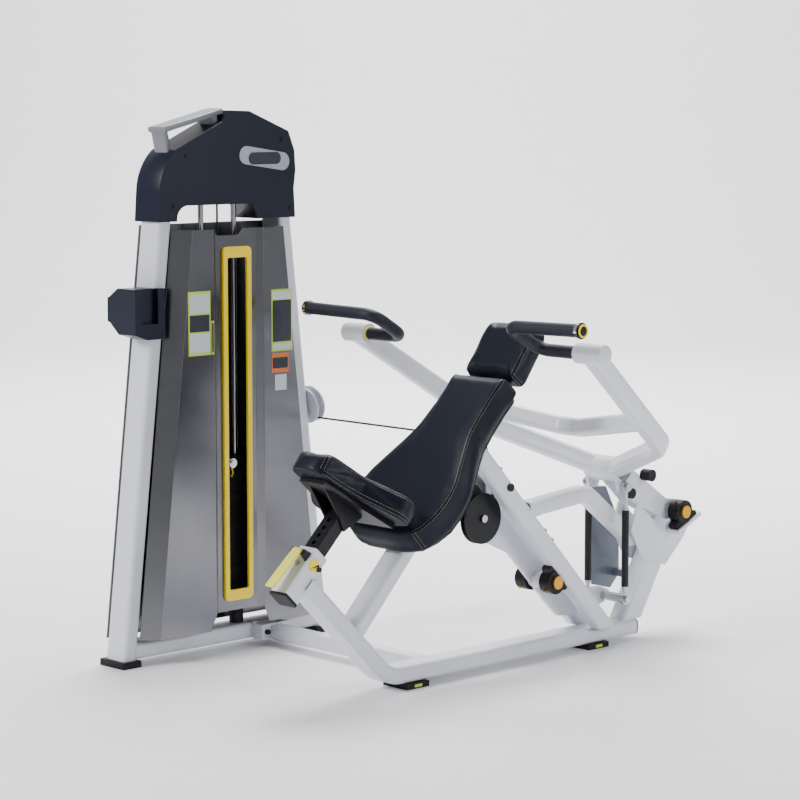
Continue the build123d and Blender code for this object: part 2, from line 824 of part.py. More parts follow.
def head_bracket():
    """The bent strip that holds the headrest above the back board."""
    board_back = -back_thick - board_thick - 0.3
    rest_back = -head_thick - 0.3
    inner = [along(back_origin, back_dir, 230, board_back), along(back_origin, back_dir, 318, board_back),
             along(head_origin, head_dir, 4, rest_back), along(head_origin, head_dir, 140, rest_back)]
    outer = [along(head_origin, head_dir, 140, rest_back - 8), along(head_origin, head_dir, 1, rest_back - 8),
             along(back_origin, back_dir, 321, board_back - 8),
             along(back_origin, back_dir, 230, board_back - 8)]
    return side_plate(inner + outer, frame_x - 35, frame_x + 35)


def rail_beam(side, hollow=True):
    """A diagonal rail from the back board down to the floor tube."""
    return beam(frame_x + side * rail_offset, rail_top, rail_foot, rail_wide, rail_deep, hollow=hollow)


def board_envelope():
    plane = back_plane().offset(-back_thick - board_thick - 0.3)
    return extrude(plane * Pos(0, 50) * Rectangle(500, 620), amount=120)


def rail(side):
    floor = block(frame_x - 200, frame_x + 200, 900, 1400, -100, base_z + base_high)
    body = rail_beam(side) - floor - board_envelope()
    if side < 0:
        body = body - block(frame_x - 100, frame_x, 400, far_rail_start, 0, 700)
    return body


def support_tube():
    """The tube from the front bend that runs up under the back board."""
    tube = beam(frame_x, (200.0, 157.0), (470.0, 443.0), base_wide - 8, base_high)
    return tube - base_envelope() - board_envelope()


gooseneck_points = [(862.0, 416.0), (1100.0, 438.0), (1300.0, 285.0)]
mast_foot = (1270.0, 40.0)
mast_head = (1404.0, 262.0)


def gooseneck_solid(hollow=True):
    points = [(frame_x, *p) for p in gooseneck_points]
    dy = gooseneck_points[1][0] - gooseneck_points[0][0]
    dz = gooseneck_points[1][1] - gooseneck_points[0][1]
    plane = Plane(origin=points[0], x_dir=(1, 0, 0), z_dir=(0, dy, dz))
    return bent_beam(points, [60], plane, 49.4, 46, tube_round, hollow)


def gooseneck():
    return gooseneck_solid() - mast_envelope()


def mast_envelope():
    return beam(frame_x, mast_foot, mast_head, 60, 74, hollow=False)


def mast():
    floor = block(frame_x - 200, frame_x + 200, 1100, 1500, -100, base_z + base_high)
    return beam(frame_x, mast_foot, mast_head, 60, 74) - floor


def fan_plates():
    """Two side plates on the mast that carry the rear pivot."""
    outline = [(1262, 318), (1290, 392), (1338, 352), (1392, 306), (1502, 352), (1536, 338), (1486, 268),
               (1410, 200), (1316, 226)]
    plates = []
    for x0 in (frame_x - 38, frame_x + 30):
        plates.append(side_plate(outline, x0, x0 + 8))
    return plates


def block_seats():
    """Sloping seats that the rear pillow blocks are bolted to."""
    seats = []
    base = along(rear_pivot, pillow_rear_dir, -52, -34)
    end = along(rear_pivot, pillow_rear_dir, 56, -34)
    for x0 in (frame_x - 84, frame_x + 38):
        outline = [base, end, along(rear_pivot, pillow_rear_dir, 56, -44),
                   along(rear_pivot, pillow_rear_dir, -52, -44)]
        seats.append(side_plate(outline, x0, x0 + 46))
    return seats


pillow_rear_dir = (0.906, 0.423)
pillow_bore = 25.1
pillow_d = 66.0
crank_block_x = (27.0, 64.0)
rear_block_x = (44.0, 80.0)


def rail_dir():
    length = hypot(rail_foot[0] - rail_top[0], rail_foot[1] - rail_top[1])
    return ((rail_foot[0] - rail_top[0]) / length, (rail_foot[1] - rail_top[1]) / length)


def crank_block_height():
    """From the crank's axis to the underside of the rails."""
    dy = crank_pivot[0] - rail_top[0]
    dz = crank_pivot[1] - rail_top[1]
    return dz * rail_dir()[0] * -1 + dy * rail_dir()[1] - rail_deep / 2


def pillow_block(pivot, direction, height, x0, x1):
    """A cast bearing block whose foot lies along the direction, at a signed height from the axis."""
    inner = height - 11 if height > 0 else height + 11
    neck = height - 19 if height > 0 else height + 19
    past = height + 60 if height > 0 else height - 60
    foot = side_plate([along(pivot, direction, -46, height), along(pivot, direction, 46, height),
                       along(pivot, direction, 46, inner), along(pivot, direction, 30, neck),
                       along(pivot, direction, -30, neck), along(pivot, direction, -46, inner)],
                      x0 + 3, x1 - 3)
    beyond = side_plate([along(pivot, direction, -60, height), along(pivot, direction, 60, height),
                         along(pivot, direction, 60, past), along(pivot, direction, -60, past)], x0 - 1, x1 + 1)
    return bar_x(pivot, x0, x1, pillow_d) + foot - beyond - bar_x(pivot, x0 - 1, x1 + 1, pillow_bore)


def pillow_blocks():
    """Two bearing blocks for the crank shaft and two for the arm shaft, with end caps and nipples."""
    blocks = []
    caps = []
    places = ((crank_pivot, rail_dir(), crank_block_height(), crank_block_x),
              (rear_pivot, pillow_rear_dir, -34.0, rear_block_x))
    for side in (-1, 1):
        for pivot, direction, height, span in places:
            x0, x1 = sorted((frame_x + side * span[0], frame_x + side * span[1]))
            blocks.append(pillow_block(pivot, direction, height, x0, x1))
            face = frame_x + side * span[1]
            cap_x0, cap_x1 = sorted((face, face + side * 7))
            caps.append(bar_x(pivot, cap_x0, cap_x1, 36))
            away = -1 if height > 0 else 1
            start = ((x0 + x1) / 2, *along(pivot, direction, -4, 33 * away))
            end = ((x0 + x1) / 2, *along(pivot, direction, -6, 42 * away))
            caps.append(bar_between(start, end, 6))
    return blocks, caps


def connector():
    """The tube that ties the tower to the main frame, with its bolted bracket."""
    tube_plane = Plane(origin=(40, 507, base_mid_z), x_dir=(0, 1, 0), z_dir=(1, 0, 0))
    return extrude(tube_plane * section(46, 40, 8, True), amount=frame_x - base_wide / 2 - 40)


def connector_bracket():
    """The folded plate that bolts the connector to the tower."""
    plate = block(-2, 6, 452, 546, 16, 68)
    ears = block(6, 40, 452, 458, 20, 62) + block(6, 40, 540, 546, 20, 62)
    return plate + ears + block(34, 40, 458, 540, 20, 62)


def connector_bolts():
    return [bar_x((469, 41), 40, 49, 15)]


def rod_guard():
    """The steel plate beside the far rod, on a spacer from the mast."""
    outline = [(1231, 434), (1231, 150), (1312, 129), (1350, 168), (1347, 323), (1290, 428)]
    plate = side_plate(outline, frame_x - 87, frame_x - 84)
    return plate + block(frame_x - 84, frame_x - 30, 1318, 1345, 165, 185)


def rail_bolts():
    """Socket screws along the near rail and on its side."""
    x0 = frame_x + rail_offset + rail_wide / 2
    bolts = [bar_x((735, 498), x0, x0 + 6, 22)]
    direction = rail_dir()
    for distance in (154, 410, 450):
        spot = along(rail_top, direction, distance, rail_deep / 2)
        tip = along(rail_top, direction, distance, rail_deep / 2 + 6)
        for side in (-1, 1):
            x = frame_x + side * rail_offset
            bolts.append(bar_between((x, *spot), (x, *tip), 16))
    return bolts


# ---- press arm ----
arm_shaft_d = 25.0


def arm_tube(side):
    """One arm: from the collar back and down to the bend, then in to the hub."""
    start = Vector(frame_x + side * collar_point[0], collar_point[1], collar_point[2])
    bend = Vector(frame_x + side * arm_bend[0], arm_bend[1], arm_bend[2])
    end = Vector(frame_x + side * 20, *hub_centre)
    axis = (bend - start).normalized()
    normal = axis.cross((end - bend).normalized()).normalized()
    plane = Plane(origin=start, x_dir=normal, z_dir=axis)
    points = [tuple(start), tuple(bend), tuple(end)]
    tube = bent_beam(points, [75], plane, arm_section[0], arm_section[1], arm_round)
    trim = bar_x(hub_centre, frame_x - hub_half, frame_x + hub_half, hub_d)
    collar = collar_solid(side)
    return tube - trim - collar


hub_d = 72.0
hub_half = 61.0


def arm_hub():
    """The cross tube at the yoke's root."""
    return bar_x(hub_centre, frame_x - hub_half, frame_x + hub_half, hub_d, hub_d - 12)


def collar_solid(side):
    x0, x1 = sorted((frame_x + side * 388, frame_x + side * 474))
    return bar_x((collar_point[1], collar_point[2]), x0, x1, 54)


def arm_collar(side):
    x0, x1 = sorted((frame_x + side * 388, frame_x + side * 474))
    return bar_x((collar_point[1], collar_point[2]), x0, x1, 54, grip_d)


def arm_point(side, share):
    x = collar_point[0] + (arm_bend[0] - collar_point[0]) * share
    y = collar_point[1] + (arm_bend[1] - collar_point[1]) * share
    z = collar_point[2] + (arm_bend[2] - collar_point[2]) * share
    return (frame_x + side * x, y, z)


def arm_envelope(side):
    start = Vector(frame_x + side * collar_point[0], collar_point[1], collar_point[2])
    bend = Vector(frame_x + side * arm_bend[0], arm_bend[1], arm_bend[2])
    end = Vector(frame_x + side * 20, *hub_centre)
    axis = (bend - start).normalized()
    normal = axis.cross((end - bend).normalized()).normalized()
    plane = Plane(origin=start, x_dir=normal, z_dir=axis)
    return extrude(plane * RectangleRounded(*arm_section, arm_round), amount=(bend - start).length)


def cross_brace():
    """The bent tube that ties the two arms."""
    left = arm_point(-1, brace_share)
    right = arm_point(1, brace_share)
    points = [left, (frame_x - 36, *brace_mid), (frame_x + 36, *brace_mid), right]
    axis = Vector(*points[1]) - Vector(*points[0])
    plane = Plane(origin=points[0], x_dir=(0, 0.28, 0.96), z_dir=axis)
    tube = bent_beam(points, [60, 60], plane, 50, 40, arm_round)
    return tube - arm_envelope(-1) - arm_envelope(1)


def arm_grip(side):
    """The C shaped handle: a bent bar under one rubber grip."""
    points = [(frame_x + side * x, y, z) for x, y, z in grip_points]
    path = FilletPolyline(*points, radius=[38, 38])
    plane = Plane(origin=path @ 0, z_dir=path % 0)
    return sweep(plane * Circle(grip_d / 2), path=path)


def grip_end(side):
    """The turned ring and cap at the grip's open end."""
    end = Vector(frame_x + side * grip_points[3][0], grip_points[3][1], grip_points[3][2])
    start = Vector(frame_x + side * grip_points[2][0], grip_points[2][1], grip_points[2][2])
    axis = (end - start).normalized()
    ring = bar_between(tuple(end), tuple(end + axis * 10), grip_d + 8)
    cap = bar_between(tuple(end + axis * 10), tuple(end + axis * 14), grip_d)
    return ring, cap


def link_plates():
    """The plates from the hub back to the arm shaft, joined by the shaft tube."""
    plates = []
    upper = [(1236, 520), (1262, 498), (1424, 390), (1468, 384)]
    lower = [(1468, 330), (1420, 330), (1290, 388), (1206, 462)]
    for x0 in (frame_x - 28, frame_x + 20):
        plate = side_plate(upper + lower, x0, x0 + 8)
        plate = plate - bar_x(hub_centre, frame_x - hub_half, frame_x + hub_half, hub_d)
        plates.append(plate - bar_x(rear_pivot, frame_x - 40, frame_x + 40, 40))
    return plates


def shaft_tube():
    return bar_x(rear_pivot, frame_x - 29, frame_x + 29, 40, arm_shaft_d)


def arm_shaft():
    return bar_x(rear_pivot, frame_x - 78, frame_x + 78, arm_shaft_d)


def rod_lugs():
    """The lugs under the hub with the rods' upper pins."""
    lugs = []
    pins = []
    for side in (-1, 1):
        x0, x1 = sorted((frame_x + side * 50, frame_x + side * 60))
        outline = [(1172, 480), (1232, 480), (1216, 438), (1182, 438)]
        lug = side_plate(outline, x0, x1) - bar_x(hub_centre, frame_x - hub_half, frame_x + hub_half, hub_d)
        pin_x0, pin_x1 = sorted((frame_x + side * 50, frame_x + side * 78))
        lugs.append(lug - bar_x(rod_top, pin_x0, pin_x1, 12))
        head_x0, head_x1 = sorted((frame_x + side * 77, frame_x + side * 83))
        pins.append(bar_x(rod_top, pin_x0, pin_x1, 12) + bar_x(rod_top, head_x0, head_x1, 22))
    return lugs, pins


def arm_bumpers():
    """Rubber stops: one on a short arm behind the hub, one under it."""
    high = bar_x((1322, 470), frame_x + 28.3, frame_x + 62, 34)
    low = bar_x((1256, 424), frame_x + 28.3, frame_x + 46, 30)
    return [high, low]


# ---- connecting rods ----
rod_gap = 1.0


def rod_x(side):
    return sorted((frame_x + side * 63, frame_x + side * 76))


def rod_parts(side):
    """The black rod with a steel rod end at each end."""
    x0, x1 = rod_x(side)
    middle = (x0 + x1) / 2
    y = rod_top[0]
    body_low = rod_foot[1] + 36
    body_high = rod_top[1] - 66
    body = extrude(Plane(origin=(middle, y, body_low)) * Circle(10.5), amount=body_high - body_low)
    upper_eye = bar_x(rod_top, x0, x1, 32)
    upper_shank = extrude(Plane(origin=(middle, y, body_high)) * Circle(6), amount=54)
    upper_nut = extrude(Plane(origin=(middle, y, body_high)) * RegularPolygon(9, 6), amount=8)
    upper = upper_eye + upper_shank + upper_nut - bar_x(rod_top, x0 - 1, x1 + 1, 12.1)
    lower_eye = bar_x(rod_foot, x0, x1, 32)
    lower_shank = extrude(Plane(origin=(middle, y, rod_foot[1] + 12)) * Circle(6), amount=24)
    lower_nut = extrude(Plane(origin=(middle, y, rod_foot[1] + 28)) * RegularPolygon(9, 6), amount=8)
    outer = x1 if side > 0 else x0
    head_x0, head_x1 = sorted((outer, outer + side * 7))
    lower = lower_eye + lower_shank + lower_nut + bar_x(rod_foot, head_x0, head_x1, 20)
    return body, [upper, lower]


# ---- bell crank ----
crank_plate_x = (-22.0, -10.0)
crank_shaft_d = 25.0


def crank_plate():
    """The white bell crank: disc arm, pivot and the arm to the rods."""
    outline = [(655, 448), (640, 400), (668, 366), (812, 300), (966, 140), (1010, 100), (1060, 96),
               (1196, 112), (1222, 124), (1222, 146), (1188, 160), (1080, 166), (990, 210), (960, 262),
               (900, 284), (742, 440), (712, 452)]
    plate = side_plate(outline, frame_x + crank_plate_x[0], frame_x + crank_plate_x[1])
    for point, bore in ((crank_pivot, 44), (rod_foot, 26), (crank_disc_centre, 12)):
        plate = plate - bar_x(point, frame_x - 30, frame_x + 30, bore)
    return plate


def crank_hub():
    return bar_x(crank_pivot, frame_x - 25, frame_x + 25, 44, crank_shaft_d)


def crank_shaft():
    return bar_x(crank_pivot, frame_x - 62, frame_x + 62, crank_shaft_d)


def crank_cross_shaft():
    """The spacer shaft at the crank's rear end; the rods' lower eyes face its ends."""
    reach = 63 - rod_gap
    return bar_x(rod_foot, frame_x - reach, frame_x + reach, 26)


def disc_axle():
    pin = bar_x(crank_disc_centre, frame_x - 24, frame_x + 16, 12)
    return pin + bar_x(crank_disc_centre, frame_x + 12, frame_x + 16, 20)


def crank_disc():
    """The black cable disc on the crank's upper end."""
    wheel = grooved_wheel(disc_groove, disc_groove + 9, 18, 12.1)
    return Plane(origin=(frame_x, *crank_disc_centre), z_dir=(1, 0, 0)) * wheel


def cable_anchor():
    """The clamp on the near rail where the cable ends."""
    clamp = block(frame_x - 9, frame_x + rail_offset - rail_wide / 2, anchor_point[0] - 9, anchor_point[0] + 9,
                  anchor_point[1] + 0.8, anchor_point[1] + 22)
    return clamp


def top_axles():
    """The axles of the two top pulleys, fixed on the web."""
    reach = top_groove
    axles = []
    for turn in (stack_turn, top_turn):
        toward = 1 if turn.axis.X > 0 else -1
        start, end = sorted((-toward * reach, toward * 14))
        axles.append(turn.axle(start, end) - top_beam())
    return [solid for axle in axles for solid in axle.solids() if solid.volume > 2000]


# ---- assembly ----
def put(name, shapes):
    """Keep one node: a solid or a group of separate solids."""
    if not isinstance(shapes, (list, tuple)):
        shapes = [shapes]
    solids = []
    for shape in shapes:
        solids.extend(shape.solids())
    parts[name] = solids


def build_tower():
    put("tower_front_upright", upright(-1))
    put("tower_rear_upright", upright(1))
    put("tower_base_tube", tower_base())
    put("tower_top_beam", top_beam())
    put("tower_cap", tower_cap())
    put("cap_handle", cap_handle())
    put("front_shroud", front_shroud())
    put("rear_shroud", rear_shroud())
    rim, pads = window_frame()
    put("window_frame", [rim] + pads)
    put("blank_placards", placards() + [cap_badge()])
    put("phone_holder", phone_holder())
    put("guide_rods", guide_rods())
    put("stack_bumpers", stack_bumpers())
    put("weight_stack", weight_stack())
    put("lifted_plate", lifted_plate())
    buffer, clamp = stem_head()
    put("selector_stem", [selector_stem() + clamp, buffer])
    put("selector_pin", selector_pin())


def build_cable():
    put("cable_lift", cable_lift())
    put("cable_route", cable_route())
    put("cable_crank", cable_crank())
    put("top_pulley_front", stack_turn.wheel(8, 18))
    put("top_pulley_rear", top_turn.wheel(8, 18))
    put("side_pulley", side_turn.wheel(7, 16))
    put("frame_pulley", frame_turn.wheel(6, 16))
    put("side_pulley_housing", side_housing())
    axles = top_axles() + [side_axle(), frame_turn.axle(-18, 18)]
    put("pulley_brackets", frame_bracket() + [cable_anchor()] + axles)


def build_frame():
    put("main_base", main_base())
    put("feet_and_caps", tower_feet() + base_feet() + [base_end_cap()])
    put("connector", [connector(), connector_bracket()])
    put("seat_sleeve", seat_sleeve())
    ears, pin = lever_ears()
    disc, bolt = sleeve_plate()
    put("sleeve_fittings", [sleeve_cap(), disc, bolt, pin] + ears)
    put("support_tube", support_tube())
    put("near_rail", rail(1))
    put("far_rail", rail(-1))
    put("gooseneck", gooseneck())
    put("rear_mast", [mast()] + fan_plates() + block_seats())
    blocks, caps = pillow_blocks()
    put("pillow_blocks", blocks)
    put("pillow_caps", caps)
    put("rod_guard", rod_guard())
    put("fasteners", rail_bolts() + connector_bolts() + cap_screws())


def build_padding():
    put("seat_lever", seat_lever())
    put("locking_pin", locking_pin())
    put("seat_post", [seat_post(), seat_bracket()] + seat_webs())
    put("seat_pad", seat_pad())
    put("back_board", [back_board(), head_bracket()])
    put("back_pad", back_pad())
    put("headrest", headrest())


def build_press():
    lugs, pins = rod_lugs()
    put("arm_hub", [arm_hub(), shaft_tube()] + link_plates() + lugs)
    put("arm_shaft", [arm_shaft()] + pins)
    put("arm_near", [arm_tube(1), arm_collar(1)])
    put("arm_far", [arm_tube(-1), arm_collar(-1)])
    put("arm_brace", cross_brace())
    put("arm_grips", [arm_grip(1), arm_grip(-1)])
    put("grip_ends", list(grip_end(1)) + list(grip_end(-1)))
    put("arm_bumpers", arm_bumpers())
    for name, side in (("rod_near", 1), ("rod_far", -1)):
        body, ends = rod_parts(side)
        put(name, [body] + ends)
    put("crank_plate", [crank_plate(), crank_hub()])
    put("crank_shaft", [crank_shaft(), crank_cross_shaft(), disc_axle()])
    put("crank_pulley", crank_disc())


def write_parts():
    """Move the machine over the origin and write one file per node."""
    whole = Compound([solid for solids in parts.values() for solid in solids]).bounding_box()
    shift = Pos(-(whole.min.X + whole.max.X) / 2, -(whole.min.Y + whole.max.Y) / 2, 0)
    os.makedirs("parts", exist_ok=True)
    for name, solids in parts.items():
        moved = [shift * solid for solid in solids]
        node = moved[0] if len(moved) == 1 else Compound(moved)
        export_step(node, "parts/" + name + ".step")
    print(len(parts), "nodes, moved by", -(whole.min.X + whole.max.X) / 2, -(whole.min.Y + whole.max.Y) / 2)


build_tower()
build_cable()
build_frame()
build_padding()
build_press()
write_parts()
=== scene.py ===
import json
import math

import bmesh
import bpy
from mathutils import Matrix, Vector
from mathutils.bvhtree import BVHTree
from mathutils.kdtree import KDTree


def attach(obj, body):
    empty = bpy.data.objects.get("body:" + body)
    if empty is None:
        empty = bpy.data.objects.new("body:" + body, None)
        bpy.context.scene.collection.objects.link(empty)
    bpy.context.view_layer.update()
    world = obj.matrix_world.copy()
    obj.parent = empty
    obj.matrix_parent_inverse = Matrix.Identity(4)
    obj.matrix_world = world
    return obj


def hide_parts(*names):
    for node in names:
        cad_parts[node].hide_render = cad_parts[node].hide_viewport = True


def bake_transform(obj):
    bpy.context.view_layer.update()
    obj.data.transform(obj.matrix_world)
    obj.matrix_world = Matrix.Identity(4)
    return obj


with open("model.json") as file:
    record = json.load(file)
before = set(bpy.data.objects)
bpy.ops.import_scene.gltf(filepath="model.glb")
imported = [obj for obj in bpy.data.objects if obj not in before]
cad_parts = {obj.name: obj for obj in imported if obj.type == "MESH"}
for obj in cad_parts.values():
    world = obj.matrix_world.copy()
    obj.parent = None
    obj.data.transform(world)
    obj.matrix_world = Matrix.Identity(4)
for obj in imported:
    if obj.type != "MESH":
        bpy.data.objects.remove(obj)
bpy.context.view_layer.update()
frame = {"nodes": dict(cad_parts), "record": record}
nodes = frame["nodes"]

# Layout places are in millimetres: x across from the tower's front face, y to the rear, z up.
layout_origin = (531.76, 737.406)
mid_x = 663.0
grip_end = (524, 958)
collar = (646, 887)
badge_middle = (499, 1366)
rail_top = (588.0, 639.4)
rail_foot = (1152.0, 41.0)
rail_side = 45.0
card_face = 51.15
camera_yaw = math.radians(43.89)
camera_pitch = math.radians(6.61)
camera_place = (4.85024, -4.88741, 1.514)


def at(x, y, z):
    """A layout point in millimetres, as a place in the frame in metres."""
    return Vector(((x - layout_origin[0]) / 1000, (y - layout_origin[1]) / 1000, z / 1000))


# ---- materials ----
def add(tree, kind, **values):
    """A shader node with some of its inputs set."""
    node = tree.nodes.new("ShaderNode" + kind)
    for key, value in values.items():
        node.inputs[key].default_value = value
    return node


def surface(name, colour, rough, metallic=0.0, grain=220.0, bump=0.12, vary=0.08, coat=0.0,
            stretch=(1, 1, 1), cells=False, depth=0.0004, shine=0.5):
    """A procedural finish: cloudy colour, uneven roughness and a fine relief."""
    made = bpy.data.materials.new(name)
    made.use_nodes = True
    tree = made.node_tree
    link = tree.links.new
    shader = tree.nodes["Principled BSDF"]
    shader.inputs["Metallic"].default_value = metallic
    shader.inputs["Coat Weight"].default_value = coat
    shader.inputs["Coat Roughness"].default_value = 0.2
    shader.inputs["Specular IOR Level"].default_value = shine
    spot = add(tree, "TexCoord")
    scaled = add(tree, "Mapping", Scale=stretch)
    link(spot.outputs["Object"], scaled.inputs["Vector"])
    cloud = add(tree, "TexNoise", Scale=7.0, Detail=3.0)
    fine = add(tree, "TexNoise", Scale=grain, Detail=2.0)
    link(spot.outputs["Object"], cloud.inputs["Vector"])
    link(scaled.outputs["Vector"], fine.inputs["Vector"])
    ramp = tree.nodes.new("ShaderNodeValToRGB")
    ramp.color_ramp.elements[0].position = 0.3
    ramp.color_ramp.elements[1].position = 0.7
    ramp.color_ramp.elements[0].color = [c * (1 - vary) for c in colour] + [1]
    ramp.color_ramp.elements[1].color = [min(c * (1 + vary), 1) for c in colour] + [1]
    link(cloud.outputs["Fac"], ramp.inputs["Fac"])
    link(ramp.outputs["Color"], shader.inputs["Base Color"])
    spread = add(tree, "MapRange")
    spread.inputs["To Min"].default_value = max(rough - 0.06, 0.03)
    spread.inputs["To Max"].default_value = min(rough + 0.06, 1)
    link(fine.outputs["Fac"], spread.inputs["Value"])
    link(spread.outputs["Result"], shader.inputs["Roughness"])
    relief = add(tree, "Bump", Strength=bump, Distance=depth)
    height = fine.outputs["Fac"]
    if cells:
        pebble = add(tree, "TexVoronoi", Scale=grain)
        link(spot.outputs["Object"], pebble.inputs["Vector"])
        height = pebble.outputs["Distance"]
    link(height, relief.inputs["Height"])
    link(relief.outputs["Normal"], shader.inputs["Normal"])
    return made


finish = {
    "white_frame": surface("powder_white", (0.66, 0.67, 0.735), 0.30, grain=900, bump=0.14, vary=0.015,
                           coat=0.3),
    "steel_sheet": surface("brushed_sheet", (0.20, 0.20, 0.215), 0.22, 1.0, 6, 0.03, 0.07,
                           stretch=(1, 1, 150)),
    "dark_plastic": surface("navy_plastic", (0.0042, 0.0068, 0.020), 0.36, grain=1100, bump=0.18,
                            shine=0.3),
    "grey_plastic": surface("grey_plastic", (0.15, 0.155, 0.18), 0.30, grain=1100, bump=0.20),
    "yellow_plastic": surface("yellow_plastic", (0.97, 0.70, 0.004), 0.28, grain=500, bump=0.06,
                              vary=0.05),
    "cast_plate": surface("plate_paint", (0.008, 0.008, 0.010), 0.46, grain=420, bump=0.35, vary=0.2,
                          shine=0.25),
    "bright_steel": surface("chrome", (0.70, 0.70, 0.72), 0.13, 1.0, 300, 0.03, 0.04),
    "rubber": surface("black_rubber", (0.005, 0.0055, 0.007), 0.55, grain=900, bump=0.25, vary=0.15,
                      shine=0.25),
    "cable": surface("cable_jacket", (0.02, 0.022, 0.027), 0.40, grain=700, bump=0.2, shine=0.3),
    "black_steel": surface("black_steel", (0.004, 0.0045, 0.006), 0.34, grain=800, bump=0.15,
                           vary=0.15, shine=0.3),
    "cushion": surface("pad_vinyl", (0.0010, 0.0026, 0.0100), 0.42, grain=620, bump=0.30, cells=True,
                       shine=0.22),
    "gold_cap": surface("gold_cap", (0.62, 0.29, 0.025), 0.28, 0.75, 400, 0.08, 0.08),
    "black_casting": surface("black_casting", (0.004, 0.004, 0.005), 0.48, grain=360, bump=0.40,
                             shine=0.25),
    "guard_steel": surface("guard_paint", (0.10, 0.115, 0.15), 0.20, grain=600, bump=0.05, vary=0.05,
                           coat=0.5),
    "pulley_plastic": surface("pulley_plastic", (0.004, 0.0045, 0.0055), 0.36, grain=700, bump=0.15,
                              shine=0.25),
    "zinc_steel": surface("zinc", (0.50, 0.51, 0.53), 0.28, 1.0, 500, 0.12, 0.08),
}
grip_rubber = surface("grip_rubber", (0.010, 0.0115, 0.021), 0.52, grain=260, bump=0.5, cells=True,
                      shine=0.3)
pale_yellow = surface("lever_yellow", (0.80, 0.74, 0.11), 0.36, grain=500, bump=0.06, vary=0.05)
seam_thread = surface("seam_thread", (0.26, 0.225, 0.155), 0.75, grain=2500, bump=0.5, vary=0.12)
orange_print = surface("orange_print", (0.72, 0.17, 0.02), 0.45, grain=500, bump=0.04, vary=0.05)
navy_print = surface("navy_print", (0.010, 0.014, 0.026), 0.40, grain=500, bump=0.04, vary=0.08)
pale_print = surface("pale_print", (0.55, 0.58, 0.62), 0.45, grain=500, bump=0.04, vary=0.04)
lime_print = surface("lime_print", (0.50, 0.68, 0.05), 0.45, grain=500, bump=0.04, vary=0.05)
badge_grey = surface("badge_grey", (0.33, 0.37, 0.43), 0.30, grain=500, bump=0.04, vary=0.05)
buffer_white = surface("buffer_white", (0.62, 0.63, 0.64), 0.42, grain=700, bump=0.1, vary=0.04)
foot_green = surface("foot_insert", (0.55, 0.62, 0.06), 0.45, grain=500, bump=0.08, vary=0.06)
wheel_grey = surface("wheel_grey", (0.50, 0.51, 0.54), 0.36, grain=700, bump=0.1, vary=0.04)
floor_finish = surface("floor_pale", (0.90, 0.90, 0.91), 0.6, grain=40, bump=0.02, vary=0.01, shine=0.2)


def paint_slots():
    """Gives every CAD node the finish of its material slot."""
    for part in frame["record"]["subparts"]:
        if part["node"] in nodes:
            mesh = nodes[part["node"]].data
            mesh.materials.clear()
            mesh.materials.append(finish[part["material_slot"]])


def repaint(node, made, low, high):
    """Gives the faces of a node inside a box of the layout another finish."""
    mesh = nodes[node].data
    mesh.materials.append(made)
    index = len(mesh.materials) - 1
    a, b = at(*low), at(*high)
    for face in mesh.polygons:
        if all(a[i] <= face.center[i] <= b[i] for i in range(3)):
            face.material_index = index


def repaint_whole(node, made):
    repaint(node, made, (-400, -400, -400), (2000, 2000, 2000))


def paint_details():
    """Second colours on nodes whose pieces have several."""
    repaint_whole("arm_grips", grip_rubber)
    repaint_whole("seat_lever", pale_yellow)
    repaint("selector_stem", buffer_white, (-70, 340, 541), (0, 395, 569))
    repaint("sleeve_fittings", finish["yellow_plastic"], (694.5, 40, 345), (699, 76, 386))
    repaint("sleeve_fittings", finish["black_steel"], (694, 64, 347), (706, 81, 364))
    repaint("sleeve_fittings", finish["rubber"], (620, -40, 260), (700, 10, 312))
    repaint("grip_ends", finish["rubber"], (1170.5, 500, 935), (1178, 550, 980))
    repaint("grip_ends", finish["rubber"], (148, 500, 935), (155.5, 550, 980))
    for rod in ("rod_near", "rod_far"):
        repaint(rod, finish["black_steel"], (500, 1150, 170), (800, 1230, 385))
    repaint("blank_placards", orange_print, (0, 480, 768), (60, 565, 830))
    repaint("blank_placards", pale_print, (0, 480, 700), (60, 565, 768))
    repaint("blank_placards", lime_print, (0, 480, 831), (60, 565, 1006))
    repaint("blank_placards", lime_print, (0, 186, 836), (60, 279, 1014))
    repaint("blank_placards", badge_grey, (0, 400, 1325), (60, 595, 1405))
    repaint_whole("fasteners", finish["black_steel"])
    repaint_whole("side_pulley_housing", finish["white_frame"])
    repaint_whole("side_pulley", wheel_grey)


def soften(names, width):
    """Rounds the hard edges of CAD nodes without touching their meshes."""
    for name in names:
        node = nodes[name]
        joined = node.modifiers.new("joined", "WELD")
        joined.merge_threshold = 0.00002
        rounded = node.modifiers.new("rounded", "BEVEL")
        rounded.width = width
        rounded.segments = 2
        rounded.limit_method = "ANGLE"
        rounded.angle_limit = math.radians(38)
        rounded.use_clamp_overlap = True


paint_slots()
paint_details()
soften(("weight_stack", "lifted_plate", "pulley_brackets", "rear_mast", "rod_guard", "connector",
        "side_pulley_housing", "window_frame", "cap_handle"), 0.0012)
soften(("tower_cap", "front_shroud", "phone_holder"), 0.0016)


# ---- mesh helpers ----
def piece(name, points, faces, made, body=None, smooth=True):
    """A mesh piece in the frame, riding on a body when one is named."""
    mesh = bpy.data.meshes.new(name)
    mesh.from_pydata([tuple(p) for p in points], [], faces)
    mesh.materials.append(made)
    for face in mesh.polygons:
        face.use_smooth = smooth
    mesh.update()
    made_object = bpy.data.objects.new(name, mesh)
    bpy.context.scene.collection.objects.link(made_object)
    if body:
        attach(made_object, body)
    return made_object


def around(sides):
    """The angles of a ring with that many sides."""
    return [2 * math.pi * k / sides for k in range(sides)]


def ring_faces(sides, base):
    """Quads from one ring of points to the next."""
    return [(base + k, base + (k + 1) % sides, base + (k + 1) % sides + sides, base + k + sides)
            for k in range(sides)]


